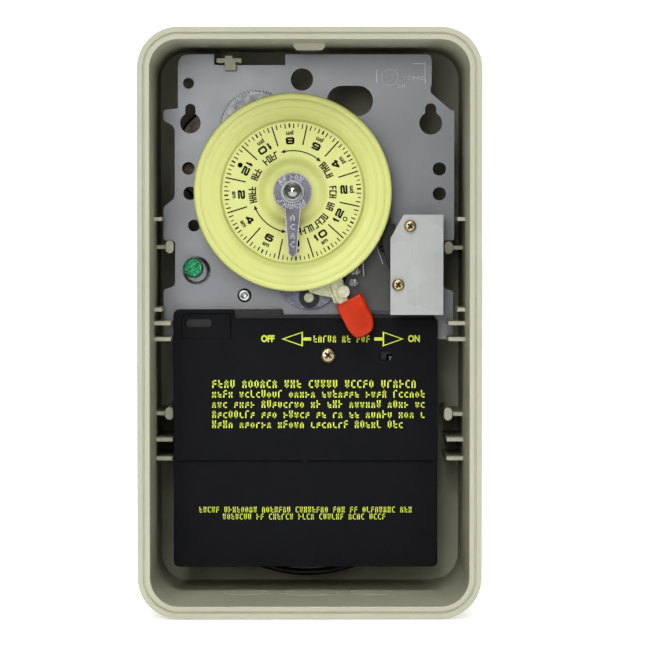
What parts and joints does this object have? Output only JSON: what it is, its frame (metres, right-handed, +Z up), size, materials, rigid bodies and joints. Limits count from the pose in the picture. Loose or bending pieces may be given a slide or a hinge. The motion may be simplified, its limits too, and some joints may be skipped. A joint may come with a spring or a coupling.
{
  "type": "24-hour dial time switch",
  "caption": "Wall-mounted mechanical time switch in an open plastic enclosure, with a 24-hour dial, manual lever, gear train, terminal board and safety guard.",
  "frame": {"origin": "centre of the enclosure's flat back face, on the wall plane", "axes": "+Z up along the enclosure's height, +X to the right seen from the front, -Y out of the open front"},
  "size_m": [0.133, 0.095, 0.2284],
  "materials": {
    "case_plastic": "fine moulded texture, beige",
    "plate_steel": "galvanised sheet, dull",
    "cover_steel": "pale satin sheet",
    "dial_plastic": "satin yellow-green",
    "dial_print": "black pad print",
    "guard_plastic": "fine grained black",
    "guard_print": "yellow-green screen print",
    "pointer_metal": "satin stamped sheet",
    "bright_steel": "plated, polished",
    "gear_steel": "stamped and plated",
    "brass": "yellow plated",
    "contact_silver": "silver-plated strip",
    "lever_nylon": "translucent off-white nylon",
    "cap_red": "orange-red moulded cap",
    "black_plastic": "black phenolic",
    "ground_green": "green lacquer on steel",
    "wire_insulation": "black PVC insulation",
    "trip_steel": "dark oiled steel",
    "base_grey": "smooth dark grey",
    "motor_steel": "dark passivated can"
  },
  "bodies": {
    "enclosure": {"case_body": "case_plastic", "mounting_plate": "plate_steel", "motor_can": "motor_steel", "motor_gearbox": "brass", "transfer_stud": "bright_steel", "dial_spring": "bright_steel", "centre_shaft": "bright_steel", "time_pointer": "pointer_metal", "pointer_washer": "gear_steel", "pointer_nut": "bright_steel", "lever_pivot_pin": "bright_steel", "lever_spring": "bright_steel", "trip_stud": "bright_steel", "switch_base": "base_grey", "contact_post": "brass", "fixed_contact_1": "contact_silver", "fixed_contact_2": "contact_silver", "snap_switch_body": "black_plastic", "switch_cover": "cover_steel", "cover_screw_1": "brass", "cover_screw_2": "brass", "ground_washer": "gear_steel", "ground_screw": "ground_green", "plate_rivet": "bright_steel", "terminal_board": "black_plastic", "safety_guard": "guard_plastic", "guard_screw": "brass", "jumper_lead": "wire_insulation", "motor_lead_1": "wire_insulation", "motor_lead_2": "wire_insulation", "terminal_clamp_1": "brass", "terminal_screw_1": "bright_steel", "terminal_clamp_2": "brass", "terminal_screw_2": "bright_steel", "terminal_clamp_3": "brass", "terminal_screw_3": "bright_steel", "terminal_clamp_4": "brass", "terminal_screw_4": "bright_steel", "terminal_clamp_5": "brass", "terminal_screw_5": "bright_steel"},
    "dial_gear_work": {"dial_gear": "brass", "dial_sleeve": "lever_nylon"},
    "dial": {"dial": "dial_plastic"},
    "transfer_gear_work": {"transfer_gear": "gear_steel", "transfer_pinion": "brass"},
    "motor_output": {"motor_pinion": "brass"},
    "lever": {"manual_lever": "lever_nylon", "lever_cap": "cap_red"},
    "trip": {"trip_cam": "trip_steel", "trip_bush": "black_plastic", "trip_pin": "lever_nylon"},
    "contact_arm": {"contact_blade": "contact_silver"},
    "leaf": {"actuator_leaf": "bright_steel", "snap_plunger": "black_plastic"},
    "latch": {"mechanism_latch": "case_plastic"}
  },
  "joints": [
    {"name": "dial_spin", "type": "hinge", "parent": "enclosure", "child": "dial_gear_work", "pos_m": [-0.0067, -0.06, 0.051], "axis": [0, 1, 0], "continuous": true},
    {"name": "dial_pull", "type": "slide", "parent": "dial_gear_work", "child": "dial", "axis": [0, -1, 0], "range_m": [0, 0.004], "stiffness_N_per_m": 300, "springref_m": -0.002, "deforming": ["dial_spring"]},
    {"name": "transfer_spin", "type": "hinge", "parent": "enclosure", "child": "transfer_gear_work", "pos_m": [-0.0214, -0.042, 0.0775], "axis": [0, 1, 0], "continuous": true},
    {"name": "motor_spin", "type": "hinge", "parent": "enclosure", "child": "motor_output", "pos_m": [-0.0334, -0.042, 0.0657], "axis": [0, 1, 0], "continuous": true},
    {"name": "lever_swing", "type": "hinge", "parent": "enclosure", "child": "lever", "pos_m": [0.01, -0.053, 0.0233], "axis": [0, 1, 0], "range_deg": [0, 43]},
    {"name": "trip_turn", "type": "hinge", "parent": "enclosure", "child": "trip", "pos_m": [-0.0003, -0.043, 0.0171], "axis": [0, 1, 0], "range_deg": [0, 43.5]},
    {"name": "contact_swing", "type": "hinge", "parent": "enclosure", "child": "contact_arm", "pos_m": [0.0203, -0.053, 0.0374], "axis": [0, 1, 0], "range_deg": [-4.4, 0]},
    {"name": "leaf_press", "type": "hinge", "parent": "enclosure", "child": "leaf", "pos_m": [0.0252, -0.053, 0.0332], "axis": [0, -1, 0], "range_deg": [0, 4], "stiffness_Nm_per_rad": 0.02, "springref_deg": -5.73},
    {"name": "latch_slide", "type": "slide", "parent": "enclosure", "child": "latch", "axis": [0, 0, 1], "range_m": [0, 0.0025], "stiffness_N_per_m": 500, "springref_m": -0.0005}
  ],
  "couplings": [
    {"joint": "transfer_spin", "follows": "dial_spin", "ratio": -8.5},
    {"joint": "motor_spin", "follows": "dial_spin", "ratio": 51},
    {"joint": "trip_turn", "follows": "lever_swing", "ratio": 1},
    {"joint": "contact_swing", "follows": "lever_swing", "ratio": -0.1}
  ]
}
